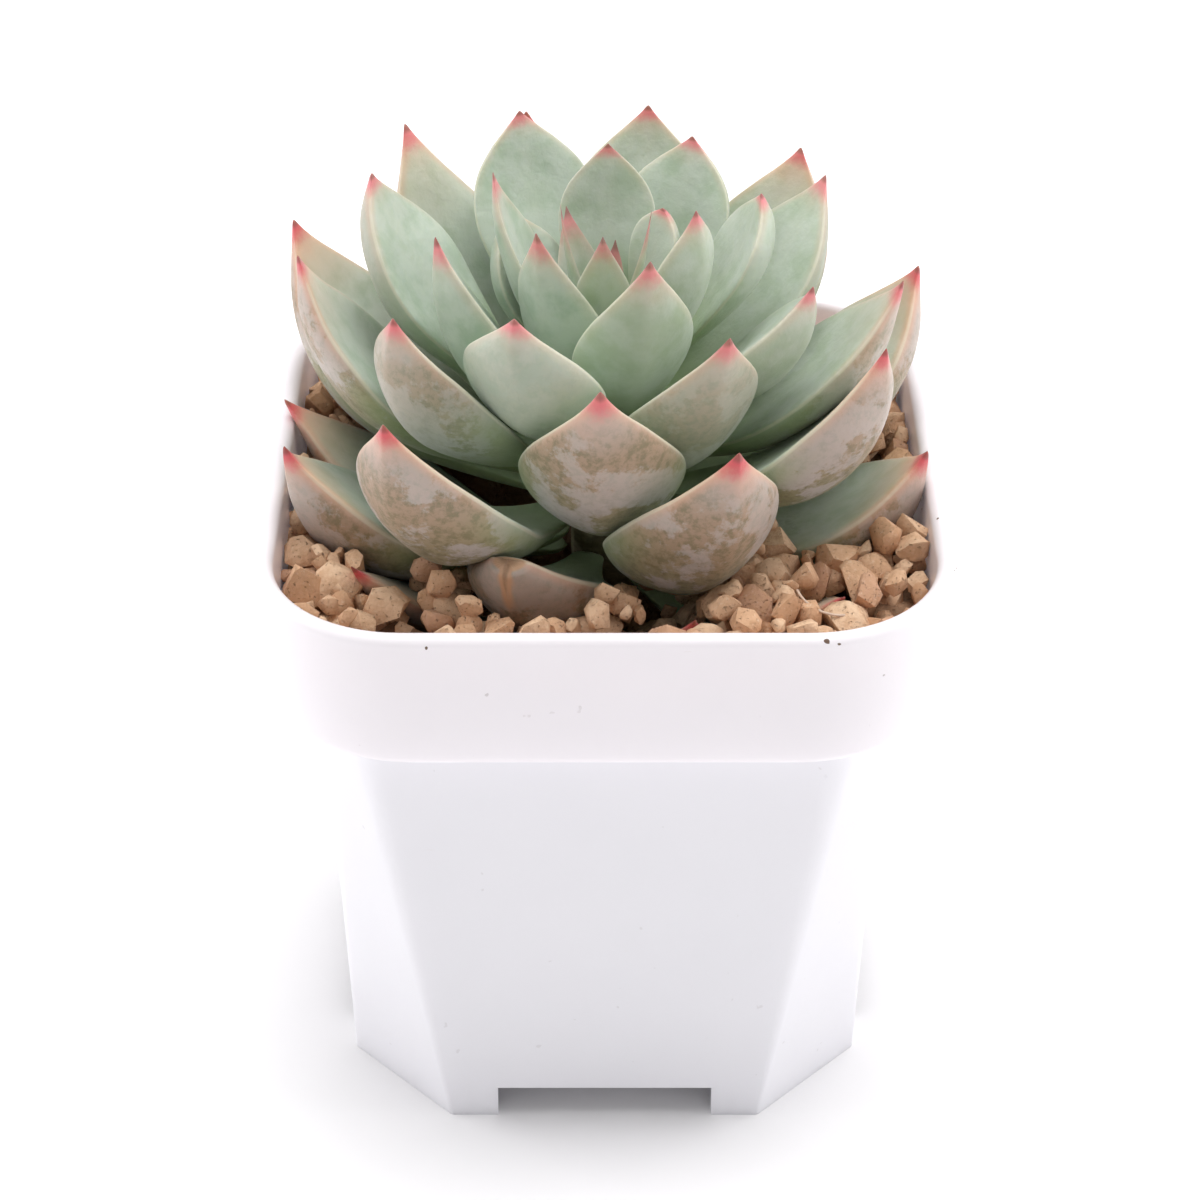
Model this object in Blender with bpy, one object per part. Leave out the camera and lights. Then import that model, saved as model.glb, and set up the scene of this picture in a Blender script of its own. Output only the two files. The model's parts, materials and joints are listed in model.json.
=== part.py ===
"""A rosette succulent in a square white plastic pot, topped with clay gravel.

Metres, +Z up. The origin is the centre of the pot's base, on the surface it stands on, and the pot's
front faces -Y. The pot, potting soil, gravel, stem and every leaf are separate solids.
"""

import math
from itertools import combinations

import bmesh
import bpy
from mathutils import Matrix, Vector, noise
from mathutils.bvhtree import BVHTree

for old in list(bpy.data.objects):
    bpy.data.objects.remove(old, do_unlink=True)

# Pot
rim_width = 0.070
pot_height = 0.068
rim_wall = 0.0020
rim_corner_radius = 0.0153
band_height = 0.0155
band_taper = 0.0007
band_edge_radius = 0.0010
body_top_width = 0.0574
body_base_width = 0.0556
body_wall = 0.0016
facet_top = 0.0042
facet_base = 0.0111
facet_edge_radius_top = 0.0050
facet_edge_radius_base = 0.0008
notch_width = 0.0232
notch_height = 0.0040
floor_over_notch = 0.0006
floor_underside = notch_height + floor_over_notch
floor_thickness = 0.0016
notch_corner_radius = 0.0007
drain_hole_radius = 0.0024
drain_hole_circle = 0.0130
drain_hole_count = 8
corner_points = 8
least_edge_radius = 0.0004
half_round = 1 - math.cos(math.radians(45))

# Soil and gravel
fill_gap = 0.0003
gravel_below_rim = 0.0042
gravel_depth = 0.0205
gravel_bump = 0.0006
gravel_bump_size = 0.0045
gravel_rings = 13
gravel_clear = 0.0006
gravel_least_depth = 0.0010
settle_rounds = 8
round_points = 56

# Plant: the rosette stands a little behind the pot's middle
plant_setback = 0.0040
plant_lean = 0.04
leaf_count = 50
shed_leaves = (45, 47, 48)
first_leaf_turn = 19.9
golden_angle = 137.508
leaf_gap = 0.0003
stem_radius = 0.0036
stem_top_radius = 0.0010
stem_top = 0.0100
stem_depth = 0.0340
stem_narrows_below_rim = 0.0113
stem_foot_height = 0.0034
stem_foot_share = 0.6
stem_points = 16

# How the leaves change from the heart outwards. Each row is a leaf number, then that leaf's reach from
# the stem to its tip, the tip's height above the rim, its width, its thickness, the height of its root
# above the rim, and its slope in degrees at the root and at the tip.
leaf_stages = (
    (0, 0.0010, 0.0215, 0.0034, 0.0014, 0.0100, 80, 86),
    (3, 0.0036, 0.0250, 0.0054, 0.0019, 0.0088, 76, 86),
    (8, 0.0092, 0.0282, 0.0086, 0.0027, 0.0066, 58, 85),
    (16, 0.0184, 0.0268, 0.0130, 0.0037, 0.0030, 40, 80),
    (24, 0.0270, 0.0240, 0.0162, 0.0044, -0.0012, 24, 74),
    (32, 0.0325, 0.0200, 0.0174, 0.0049, -0.0060, 8, 69),
    (36, 0.0335, 0.0140, 0.0178, 0.0056, -0.0092, -1, 62),
    (40, 0.0345, 0.0045, 0.0162, 0.0058, -0.0120, -6, 50),
    (44, 0.0340, 0.0000, 0.0120, 0.0042, -0.0155, -8, 42),
    (49, 0.0320, -0.0025, 0.0104, 0.0034, -0.0210, -8, 50),
)

# A leaf from its root to the base of its spine: the share of its length, of its width and of its
# thickness at each ring.
leaf_rings = (
    (0.015, 0.22, 0.20),
    (0.11, 0.28, 0.31),
    (0.25, 0.48, 0.54),
    (0.40, 0.78, 0.82),
    (0.54, 0.98, 1.00),
    (0.66, 1.00, 0.95),
    (0.77, 0.86, 0.80),
    (0.86, 0.58, 0.58),
    (0.925, 0.29, 0.35),
    (0.967, 0.12, 0.16),
)
leaf_ring_points = 12
leaf_upper_share = 0.22
leaf_keel_share = 0.16
leaf_cup_share = 0.34
leaf_core_share = 0.72
leaf_core_depth = 0.20
leaf_least_half = 0.00020
leaf_least_bend = 4.0

# Where leaves crowd each other
press_rounds = 20
press_step = 0.6
press_gap = 0.0005
press_reach = 0.0060
unfold_step = 0.5

# Leaves that grew away from the pattern: degrees turned, then reach and lift of the tip in metres.
leaf_habits = {
    0: (0, 0.0, -0.0060),
    1: (0, 0.0, -0.0052),
    2: (0, 0.0, -0.0040),
    3: (0, 0.0, -0.0042),
    4: (-12, 0.0, 0.0015),
    5: (0, -0.0010, 0.0005),
    6: (0, 0.0, -0.0036),
    7: (6, 0.0, -0.0005),
    8: (0, -0.0015, -0.0044),
    9: (-4, 0.0010, 0.0010),
    10: (6, 0.0, 0.0020),
    11: (-4, 0.0, -0.0005),
    12: (5, -0.0020, 0.0005),
    13: (0, 0.0010, 0.0),
    14: (0, -0.0040, -0.0050),
    15: (3, -0.0010, 0.0015),
    17: (3, -0.0015, -0.0010),
    18: (-2, 0.0025, -0.0025),
    19: (1, 0.0010, 0.0010),
    20: (-2, 0.0005, -0.0005),
    21: (-1, 0.0020, 0.0),
    22: (-1, 0.0, 0.0010),
    23: (-4, -0.0010, -0.0005),
    24: (0, 0.0005, 0.0010),
    25: (2, -0.0010, -0.0015),
    26: (-2, 0.0020, -0.0020),
    27: (1, 0.0020, 0.0015),
    28: (-1, 0.0, 0.0),
    29: (0, 0.0010, 0.0010),
    31: (3, 0.0012, 0.0010),
    32: (5, 0.0006, 0.0015),
    33: (-3, 0.0035, -0.0010),
    34: (-1, 0.0010, -0.0005),
    35: (2, 0.0035, 0.0),
    36: (3, -0.0012, 0.0018),
    37: (0, -0.0030, 0.0),
    38: (2, 0.0020, -0.0025),
    39: (-1, 0.0004, -0.0015),
    40: (0, -0.0040, 0.0),
    41: (-7, -0.0056, -0.0023),
    43: (2, 0.0, -0.0005),
    44: (1, 0.0020, -0.0020),
    46: (-1, 0.0020, -0.0010),
    49: (8, 0.0005, 0.0),
}


def material(name, colour, roughness):
    made = bpy.data.materials.new(name)
    made.use_nodes = True
    shader = made.node_tree.nodes["Principled BSDF"]
    shader.inputs["Base Color"].default_value = (*colour, 1.0)
    shader.inputs["Roughness"].default_value = roughness
    shader.inputs["Metallic"].default_value = 0.0
    return made


def add_object(name, mesh_data, finish):
    mesh = bpy.data.meshes.new(name)
    mesh_data.to_mesh(mesh)
    mesh_data.free()
    mesh.materials.append(finish)
    mesh.shade_smooth()
    mesh.set_sharp_from_angle(angle=math.radians(40))
    made = bpy.data.objects.new(name, mesh)
    bpy.context.scene.collection.objects.link(made)
    return made


def outline(half_width, corner_cut, edge_radius):
    """A square with its corners cut off at 45 degrees, and both edges of each cut rounded."""
    reach = edge_radius * math.tan(math.radians(22.5))
    reach = min(reach, corner_cut * math.sqrt(2) / 2)
    radius = reach / math.tan(math.radians(22.5))
    per_edge = corner_points // 2
    points = []
    for quarter in range(4):
        turn = Matrix.Rotation(quarter * math.pi / 2, 2)
        for edge in range(2):
            start = edge * 45
            if edge == 0:
                centre = Vector((half_width - radius, half_width - corner_cut - reach))
            else:
                centre = Vector((half_width - corner_cut - reach, half_width - radius))
            for step in range(per_edge):
                angle = math.radians(start + 45 * step / (per_edge - 1))
                points.append(turn @ (centre + radius * Vector((math.cos(angle), math.sin(angle)))))
    return points


def rounded_square(half_width, radius):
    """The corner cut and edge radius that make outline() an evenly rounded square."""
    return half_width, radius * (2 - math.sqrt(2)), radius


def ring(shape, points, height):
    return [shape.verts.new((*point, height)) for point in points]


def skin(shape, rings):
    """Faces from each ring to the next, and one across the first and the last."""
    for lower, upper in zip(rings, rings[1:]):
        for i in range(len(lower)):
            shape.faces.new((lower[i - 1], lower[i], upper[i], upper[i - 1]))
    shape.faces.new(reversed(rings[0]))
    shape.faces.new(rings[-1])


def body_outline(height, inset=0.0):
    """The pot's body between its base and the band, or its inner face where inset is the wall."""
    share = height / (pot_height - band_height)
    half_width = (body_base_width + (body_top_width - body_base_width) * share) / 2
    corner_cut = facet_base + (facet_top - facet_base) * share
    edge_radius = facet_edge_radius_base + (facet_edge_radius_top - facet_edge_radius_base) * share
    corner_cut -= inset * (2 - math.sqrt(2))
    return outline(half_width - inset, corner_cut, max(edge_radius - inset, least_edge_radius))


def band_outline(depth, inset=0.0):
    """The overhanging band at a depth below the rim, or its inner face where inset is the wall."""
    half_width = rim_width / 2 - band_taper * depth / band_height - inset
    return outline(*rounded_square(half_width, rim_corner_radius - inset))


def hide_cutter(cutter):
    cutter.hide_render = True
    cutter.display_type = "WIRE"


def cut(target, cutter):
    hide_cutter(cutter)
    modifier = target.modifiers.new(cutter.name, "BOOLEAN")
    modifier.operation = "DIFFERENCE"
    modifier.solver = "EXACT"
    modifier.object = cutter


def make_pot():
    band_bottom = pot_height - band_height
    edge = band_edge_radius
    lip = rim_wall / 2
    skirt_top = floor_underside
    floor_top = floor_underside + floor_thickness
    inner_step = band_bottom - body_wall
    shape = bmesh.new()
    rings = [
        ring(shape, body_outline(skirt_top, body_wall), skirt_top),
        ring(shape, body_outline(0.0, body_wall), 0.0),
        ring(shape, body_outline(0.0), 0.0),
        ring(shape, body_outline(band_bottom), band_bottom),
        ring(shape, band_outline(band_height, edge), band_bottom),
        ring(shape, band_outline(band_height, edge * half_round), band_bottom + edge * half_round),
        ring(shape, band_outline(band_height - edge), band_bottom + edge),
        ring(shape, band_outline(lip), pot_height - lip),
        ring(shape, band_outline(0.0, lip * half_round), pot_height - lip * half_round),
        ring(shape, band_outline(0.0, lip), pot_height),
        ring(shape, band_outline(0.0, rim_wall - lip * half_round), pot_height - lip * half_round),
        ring(shape, band_outline(0.0, rim_wall), pot_height - lip),
        ring(shape, band_outline(band_height - body_wall, rim_wall), band_bottom + body_wall),
        ring(shape, body_outline(inner_step, body_wall), inner_step + body_wall),
        ring(shape, body_outline(floor_top, body_wall), floor_top),
    ]
    skin(shape, rings)
    pot = add_object("pot", shape, material("white_plastic", (0.90, 0.89, 0.92), 0.32))

    for index, turn in enumerate((0, math.pi / 2)):
        bar = bmesh.new()
        bmesh.ops.create_cube(bar, size=1.0)
        bmesh.ops.scale(bar, vec=(notch_width, rim_width, 2 * notch_height), verts=bar.verts)
        top_edges = [
            edge_line
            for edge_line in bar.edges
            if all(vert.co.z > 0 and abs(vert.co.x) > 0 for vert in edge_line.verts)
            and edge_line.verts[0].co.x == edge_line.verts[1].co.x
        ]
        bmesh.ops.bevel(
            bar,
            geom=top_edges,
            offset=notch_corner_radius,
            segments=3,
            profile=0.5,
            affect="EDGES",
            material=-1,
        )
        bmesh.ops.rotate(bar, matrix=Matrix.Rotation(turn, 3, "Z"), verts=bar.verts)
        cutter = add_object(f"notch_cutter_{index}", bar, pot.data.materials[0])
        cut(pot, cutter)

    holes = bmesh.new()
    places = [Vector((0, 0, 0))]
    for index in range(drain_hole_count):
        angle = 2 * math.pi * index / drain_hole_count
        places.append(drain_hole_circle * Vector((math.cos(angle), math.sin(angle), 0)))
    for place in places:
        bmesh.ops.create_cone(
            holes,
            cap_ends=True,
            segments=12,
            radius1=drain_hole_radius,
            radius2=drain_hole_radius,
            depth=6 * floor_thickness,
            matrix=Matrix.Translation(place + Vector((0, 0, floor_underside + floor_thickness / 2))),
        )
    cut(pot, add_object("drain_cutter", holes, pot.data.materials[0]))


def stage(column, number):
    """A value of leaf_stages at a leaf number, between the rows on either side of it."""
    for low, high in zip(leaf_stages, leaf_stages[1:]):
        if number <= high[0]:
            share = (number - low[0]) / (high[0] - low[0])
            return low[column] + (high[column] - low[column]) * share
    return leaf_stages[-1][column]


class Leaf:
    """One leaf's place: a curve from its root on the stem to its tip, in an upright plane."""

    def __init__(self, number):
        turn, reach, lift = leaf_habits.get(number, (0, 0.0, 0.0))
        angle = math.radians(first_leaf_turn + golden_angle * number + turn)
        self.number = number
        self.out = Vector((math.cos(angle), math.sin(angle), 0))
        self.side = Vector((-math.sin(angle), math.cos(angle), 0))
        self.width = stage(3, number)
        self.thickness = stage(4, number)
        root_height = stage(5, number)
        root_reach = stem_radius_at(root_height) + leaf_gap
        root = Vector((root_reach, root_height))
        tip = Vector((stage(1, number) + reach, stage(2, number) + lift))
        tip.y -= plant_lean * tip.x * self.out.x
        low, high = math.radians(stage(6, number)), math.radians(stage(7, number))
        chord = tip - root
        chord_slope = math.atan2(chord.y, chord.x)
        low = min(low, chord_slope - math.radians(leaf_least_bend))
        high = max(high, chord_slope + math.radians(leaf_least_bend))
        along = math.sin(high - chord_slope) / math.sin(high - low) * chord.length
        bend = root + along * Vector((math.cos(low), math.sin(low)))
        self.root, self.bend, self.tip = root, bend, tip

    def spine(self, share):
        """The point and the inward normal at a share of the leaf's length."""
        low = self.root.lerp(self.bend, share)
        high = self.bend.lerp(self.tip, share)
        point = low.lerp(high, share)
        along = (high - low).normalized()
        normal = -along.y * self.out + Vector((0, 0, along.x))
        return self.place(point), normal, point.x

    def place(self, point):
        return plant_middle + point.x * self.out + Vector((0, 0, point.y))


def stem_radius_at(height):
    """The stem narrows to the growing point above the rim's level."""
    share = (height + stem_narrows_below_rim) / (stem_top + stem_narrows_below_rim)
    share = min(max(share, 0.0), 1.0)
    return stem_radius + (stem_top_radius - stem_radius) * share ** 2


def leaf_shape(leaf):
    """A ball drawn out along the leaf's curve, flat on its inner face and keeled on its outer one."""
    shape = bmesh.new()
    cores = {}
    ring_count = len(leaf_rings)
    bmesh.ops.create_uvsphere(
        shape, u_segments=leaf_ring_points, v_segments=ring_count + 1, radius=1.0
    )
    shape.verts.index_update()
    for vert in shape.verts:
        level = math.acos(max(-1.0, min(1.0, -vert.co.z))) / math.pi * (ring_count + 1)
        row = round(level)
        if row in (0, ring_count + 1):
            vert.co = leaf.spine(row / (ring_count + 1))[0]
            cores[vert.index] = vert.co.copy()
            continue
        share, width_share, thickness_share = leaf_rings[row - 1]
        around = math.atan2(vert.co.y, vert.co.x)
        across = math.cos(around)
        face = math.sin(around)
        point, normal, reach = leaf.spine(share)
        half_width = leaf.width / 2 * width_share
        thickness = leaf.thickness * thickness_share
        cup = min(leaf_cup_share * half_width, half_width ** 2 / (2 * max(reach, 0.001)))
        if face > 0:
            rise = leaf_upper_share * thickness * face
        else:
            keel = 1 + leaf_keel_share * (1 - abs(across)) ** 2
            rise = (1 - leaf_upper_share) * thickness * face * keel
        core = half_width * leaf_core_share * across * leaf.side + cup * across ** 2 * normal
        core -= leaf_core_depth * thickness * (1 - across ** 2) * normal
        cores[vert.index] = point + core
        vert.co = point + half_width * across * leaf.side + (cup * across ** 2 + rise) * normal
    bmesh.ops.recalc_face_normals(shape, faces=shape.faces)
    bmesh.ops.triangulate(shape, faces=shape.faces, quad_method="SHORT_EDGE")
    return shape, cores


def ordered(face):
    """A face's corners from its lowest number round, so that each run names them alike."""
    numbers = [vert.index for vert in face.verts]
    start = numbers.index(min(numbers))
    return numbers[start:] + numbers[:start]


plant_middle = Vector((0, plant_setback, pot_height))


def boxes_meet(first, second):
    return all(
        first[0][axis] < second[1][axis] + leaf_gap and second[0][axis] < first[1][axis] + leaf_gap
        for axis in range(3)
    )


def unfold(leaf, tree):
    """Smooths a leaf's skin wherever pressing has folded it through itself."""
    leaf.shape.verts.ensure_lookup_table()
    verts = leaf.shape.verts
    folded = set()
    for first, second in tree.overlap(tree):
        corners, others = leaf.faces[first], leaf.faces[second]
        if not set(corners) & set(others):
            folded.update(corners, others)
    smoothed = {}
    for number in folded:
        near = sorted(edge.other_vert(verts[number]).index for edge in verts[number].link_edges)
        middle = sum((verts[other].co for other in near), Vector()) / len(near)
        smoothed[number] = verts[number].co.lerp(middle, unfold_step)
    for number, place in smoothed.items():
        verts[number].co = place


def press(leaves):
    """Leaves that crowd each other flatten where they meet: each point that is too near another
    leaf moves towards its own leaf's core."""
    for _ in range(press_rounds):
        trees = []
        for leaf in leaves:
            trees.append(BVHTree.FromPolygons([vert.co for vert in leaf.shape.verts], leaf.faces))
            low = [min(vert.co[axis] for vert in leaf.shape.verts) for axis in range(3)]
            high = [max(vert.co[axis] for vert in leaf.shape.verts) for axis in range(3)]
            leaf.box = (low, high)
        for leaf in leaves:
            shifts = {}
            for other, tree in zip(leaves, trees):
                if other is leaf or not boxes_meet(leaf.box, other.box):
                    continue
                for vert in leaf.shape.verts:
                    near, normal, _, distance = tree.find_nearest(vert.co, press_reach)
                    if near is None:
                        continue
                    if (vert.co - near).dot(normal) < 0:
                        distance = -distance
                    if distance < press_gap:
                        shifts[vert] = max(shifts.get(vert, 0.0), press_gap - distance)
            for vert, shift in shifts.items():
                inward = leaf.cores[vert.index] - vert.co
                if inward.length > leaf_least_half:
                    step = min(shift * press_step, inward.length - leaf_least_half)
                    vert.co += inward.normalized() * step
        for leaf in leaves:
            unfold(leaf, BVHTree.FromPolygons([vert.co for vert in leaf.shape.verts], leaf.faces))


def make_leaves():
    finish = material("leaf_green", (0.42, 0.52, 0.42), 0.55)
    leaves = [Leaf(number) for number in range(leaf_count) if number not in shed_leaves]
    for leaf in leaves:
        leaf.shape, leaf.cores = leaf_shape(leaf)
        leaf.faces = sorted(ordered(face) for face in leaf.shape.faces)
    press(leaves)
    corners = []
    faces = []
    for leaf in leaves:
        faces += [[len(corners) + number for number in face] for face in leaf.faces]
        corners += [vert.co.copy() for vert in leaf.shape.verts]
        add_object(f"leaf_{leaf.number + 1:02d}", leaf.shape, finish)
    return BVHTree.FromPolygons(corners, faces)


def circle(radius):
    """A ring of points round the stem."""
    angles = [2 * math.pi * index / round_points for index in range(round_points)]
    return [
        Vector((radius * math.cos(angle), plant_setback + radius * math.sin(angle)))
        for angle in angles
    ]


def from_stem(corners):
    """Where lines from the stem, one for each point of circle(), cross an outline."""
    middle = Vector((0, plant_setback))
    crossings = []
    for point in circle(1.0):
        direction = point - middle
        for index, corner in enumerate(corners):
            last = corners[index - 1]
            side = corner - last
            turn = direction.cross(side)
            if abs(turn) < 1e-12:
                continue
            reach = (last - middle).cross(side) / turn
            share = (last - middle).cross(direction) / turn
            if reach > 0 and -1e-9 <= share < 1 - 1e-9:
                crossings.append(middle + reach * direction)
                break
    return crossings


def make_stem():
    foot = -stem_depth + stem_foot_height
    levels = [-stem_depth, foot, -stem_narrows_below_rim, 0.0, stem_top / 2, stem_top]
    shape = bmesh.new()
    rings = []
    for index, level in enumerate(levels):
        radius = stem_radius_at(level) * (stem_foot_share if index == 0 else 1.0)
        angles = [2 * math.pi * step / stem_points for step in range(stem_points)]
        points = [
            Vector((radius * math.cos(angle), plant_setback + radius * math.sin(angle)))
            for angle in angles
        ]
        rings.append(ring(shape, points, pot_height + level))
    skin(shape, rings)
    add_object("stem", shape, material("stem_brown", (0.45, 0.40, 0.28), 0.8))


def make_soil():
    bottom = floor_underside + floor_thickness + fill_gap
    top = pot_height - gravel_below_rim - gravel_depth - fill_gap
    hole = circle(stem_radius + fill_gap)
    hole_bottom = pot_height - stem_depth - fill_gap
    shape = bmesh.new()
    rings = [
        ring(shape, from_stem(body_outline(bottom, body_wall + fill_gap)), bottom),
        ring(shape, from_stem(body_outline(top, body_wall + fill_gap)), top),
        ring(shape, hole, top),
        ring(shape, hole, hole_bottom),
    ]
    skin(shape, rings)
    add_object("potting_soil", shape, material("soil_brown", (0.16, 0.11, 0.08), 0.95))


def settle(faces, leaf_tree, floors):
    """The bed gives way wherever a leaf would dip into it, down to each point's floor."""
    up = Vector((0, 0, 1))
    for _ in range(settle_rounds):
        for face in faces:
            spots = [vert.co.copy() for vert in face.verts]
            for first, second in combinations(face.verts, 2):
                spots += [first.co.lerp(second.co, share) for share in (0.25, 0.5, 0.75)]
            for spot in spots:
                hit = leaf_tree.ray_cast(Vector((spot.x, spot.y, 0)), up)[0]
                if hit is None:
                    continue
                excess = spot.z - (hit.z - gravel_clear)
                if excess > 0:
                    for vert in face.verts:
                        vert.co.z = max(vert.co.z - excess, floors[vert])


def make_gravel(leaf_tree):
    """A bed that fills the pot's mouth, dished under the leaves that rest on it."""
    bottom = pot_height - gravel_below_rim - gravel_depth
    ledge = pot_height - band_height + body_wall + fill_gap
    surface = pot_height - gravel_below_rim
    inner = circle(stem_radius + fill_gap)
    outer = from_stem(band_outline(gravel_below_rim, rim_wall + fill_gap))
    below = from_stem(band_outline(band_height - body_wall, rim_wall + fill_gap))
    shape = bmesh.new()
    rings = [
        ring(shape, inner, bottom),
        ring(shape, from_stem(body_outline(bottom, body_wall + fill_gap)), bottom),
        ring(shape, from_stem(body_outline(ledge, body_wall + fill_gap)), ledge),
        ring(shape, below, ledge),
    ]
    middle = Vector((0, plant_setback))
    floors = {}
    for row in range(gravel_rings):
        share = 1 - row / (gravel_rings - 1)
        verts = []
        for start, end, edge in zip(inner, outer, from_stem(body_outline(ledge, body_wall + fill_gap))):
            flat = start.lerp(end, share)
            bump = gravel_bump * noise.noise(Vector((*flat, 0)) / gravel_bump_size)
            vert = shape.verts.new((*flat, surface + bump))
            ring_step = (end - start).length / (gravel_rings - 1)
            over_ledge = (flat - middle).length > (edge - middle).length - ring_step
            floors[vert] = (ledge if over_ledge else bottom) + gravel_least_depth
            verts.append(vert)
        rings.append(verts)
    rings.append(rings[0])
    for lower, upper in zip(rings, rings[1:]):
        for i in range(round_points):
            shape.faces.new((lower[i - 1], lower[i], upper[i], upper[i - 1]))
    top = [face for face in shape.faces if all(vert.co.z > ledge for vert in face.verts)]
    settle(top, leaf_tree, floors)
    add_object("gravel", shape, material("clay_gravel", (0.66, 0.48, 0.32), 0.9))


make_pot()
make_stem()
make_soil()
make_gravel(make_leaves())
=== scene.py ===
"""A rosette succulent in a square white plastic pot, topped with clay gravel.

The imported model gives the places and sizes, in metres, with +Z up and the pot's front face towards -Y.
The sections follow the object as it is potted: pot, soil, gravel, stem, leaves and a stray root.
"""

import json
import math

import bmesh
import bpy
import numpy as np
from mathutils import Matrix, Vector, noise
from mathutils.bvhtree import BVHTree

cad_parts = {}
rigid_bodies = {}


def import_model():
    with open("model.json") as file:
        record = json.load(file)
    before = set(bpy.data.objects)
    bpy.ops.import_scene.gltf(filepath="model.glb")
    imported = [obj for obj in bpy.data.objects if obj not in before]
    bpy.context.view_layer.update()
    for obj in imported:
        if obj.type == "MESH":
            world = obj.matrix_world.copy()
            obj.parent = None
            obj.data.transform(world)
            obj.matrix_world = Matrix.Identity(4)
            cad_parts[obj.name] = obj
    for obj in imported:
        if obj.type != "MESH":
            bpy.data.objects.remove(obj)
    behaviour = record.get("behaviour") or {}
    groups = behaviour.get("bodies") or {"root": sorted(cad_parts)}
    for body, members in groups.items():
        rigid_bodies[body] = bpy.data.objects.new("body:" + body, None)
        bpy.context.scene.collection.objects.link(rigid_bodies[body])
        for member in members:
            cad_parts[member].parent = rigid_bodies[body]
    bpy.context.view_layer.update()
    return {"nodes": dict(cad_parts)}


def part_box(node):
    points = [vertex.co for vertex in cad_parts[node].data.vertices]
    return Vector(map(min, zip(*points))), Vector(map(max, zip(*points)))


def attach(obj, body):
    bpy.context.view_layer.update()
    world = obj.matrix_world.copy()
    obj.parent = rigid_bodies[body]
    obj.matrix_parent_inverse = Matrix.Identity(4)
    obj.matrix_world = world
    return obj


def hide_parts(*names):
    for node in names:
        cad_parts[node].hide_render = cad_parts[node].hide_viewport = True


for old in list(bpy.data.objects):
    bpy.data.objects.remove(old, do_unlink=True)
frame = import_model()


# ---- Pot ----
# An injection-moulded polypropylene nursery pot: a square body with cut-off corners under a deep rim
# band, with a notch in each base side and nine drain holes. The plastic is white, a little glossy and
# lets some light through. It has faint scuffs, and specks of clay dust from the potting.
pot_low, pot_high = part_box("pot")
pot_height = pot_high.z
rim_width = pot_high.x - pot_low.x
rim_wall = 0.0020
rim_corner_radius = 0.0153
band_height = 0.0155
band_taper = 0.0007
band_edge_radius = 0.0010
body_top_width = 0.0574
body_base_width = 0.0556
body_wall = 0.0016
facet_top = 0.0042
facet_base = 0.0111
facet_edge_top = 0.0050
facet_edge_base = 0.0008
notch_width = 0.0232
notch_height = 0.0040
floor_underside = 0.0046
floor_thickness = 0.0016
drain_hole_radius = 0.0024
drain_hole_circle = 0.0130
drain_hole_count = 8
arc_points = 9


class Finish:
    """A Principled material whose pattern is built up one node at a time."""

    def __init__(self, name, **values):
        self.material = bpy.data.materials.new(name)
        self.material.use_nodes = True
        self.tree = self.material.node_tree
        self.shader = self.tree.nodes["Principled BSDF"]
        for socket, value in values.items():
            self.shader.inputs[socket.replace("_", " ")].default_value = value
        self.place = self.add("TexCoord", output="Object")

    def add(self, kind, inputs=(), output=0, **settings):
        made = self.tree.nodes.new("ShaderNode" + kind)
        for name, value in settings.items():
            setattr(made, name, value)
        for socket, value in dict(inputs).items():
            if isinstance(value, bpy.types.NodeSocket):
                self.tree.links.new(value, made.inputs[socket])
            else:
                made.inputs[socket].default_value = value
        return made.outputs[output]

    def stretched(self, scale):
        return self.add("Mapping", {"Vector": self.place, "Scale": scale})

    def noise(self, size, detail=3.0, rough=0.55, vector=None):
        """Clouds whose features are about size metres across."""
        sockets = {"Vector": vector or self.place, "Scale": 1 / size, "Detail": detail, "Roughness": rough}
        return self.add("TexNoise", sockets)

    def ramp(self, value, low, high):
        """0 where value is at low, 1 where it is at high, and smooth between them."""
        sockets = {"Value": value, "From Min": low, "From Max": high}
        return self.add("MapRange", sockets, interpolation_type="SMOOTHSTEP")

    def maths(self, operation, first, second=0.0):
        return self.add("Math", {0: first, 1: second}, operation=operation)

    def times(self, first, second):
        return self.maths("MULTIPLY", first, second)

    def inverse(self, value):
        return self.maths("SUBTRACT", 1.0, value)

    def either(self, first, second):
        return self.maths("MAXIMUM", first, second)

    def own(self, name):
        """A value stored on the piece's own mesh."""
        return self.add("Attribute", output="Fac", attribute_name=name)

    def mix(self, share, first, second):
        """Colours first and second, by share of the second."""
        colours = [colour if isinstance(colour, bpy.types.NodeSocket) else (*colour, 1.0)
                   for colour in (first, second)]
        sockets = {0: share, 6: colours[0], 7: colours[1]}
        return self.add("Mix", sockets, output=2, data_type="RGBA")

    def height(self, value, depth, before=None):
        """Bumps of depth metres, on top of those before."""
        sockets = {"Height": value, "Distance": depth, "Strength": 1.0}
        if before is not None:
            sockets["Normal"] = before
        return self.add("Bump", sockets)

    def wear(self, **outputs):
        for socket, value in outputs.items():
            self.tree.links.new(value, self.shader.inputs[socket.replace("_", " ")])
        return self.material


def add_piece(name, shape, finish, sharp=40):
    """A finished piece from a bmesh, with edges sharper than that many degrees left crisp."""
    mesh = bpy.data.meshes.new(name)
    shape.to_mesh(mesh)
    shape.free()
    mesh.materials.append(finish)
    mesh.shade_smooth()
    mesh.set_sharp_from_angle(angle=math.radians(sharp))
    made = bpy.data.objects.new(name, mesh)
    bpy.context.scene.collection.objects.link(made)
    return made


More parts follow.
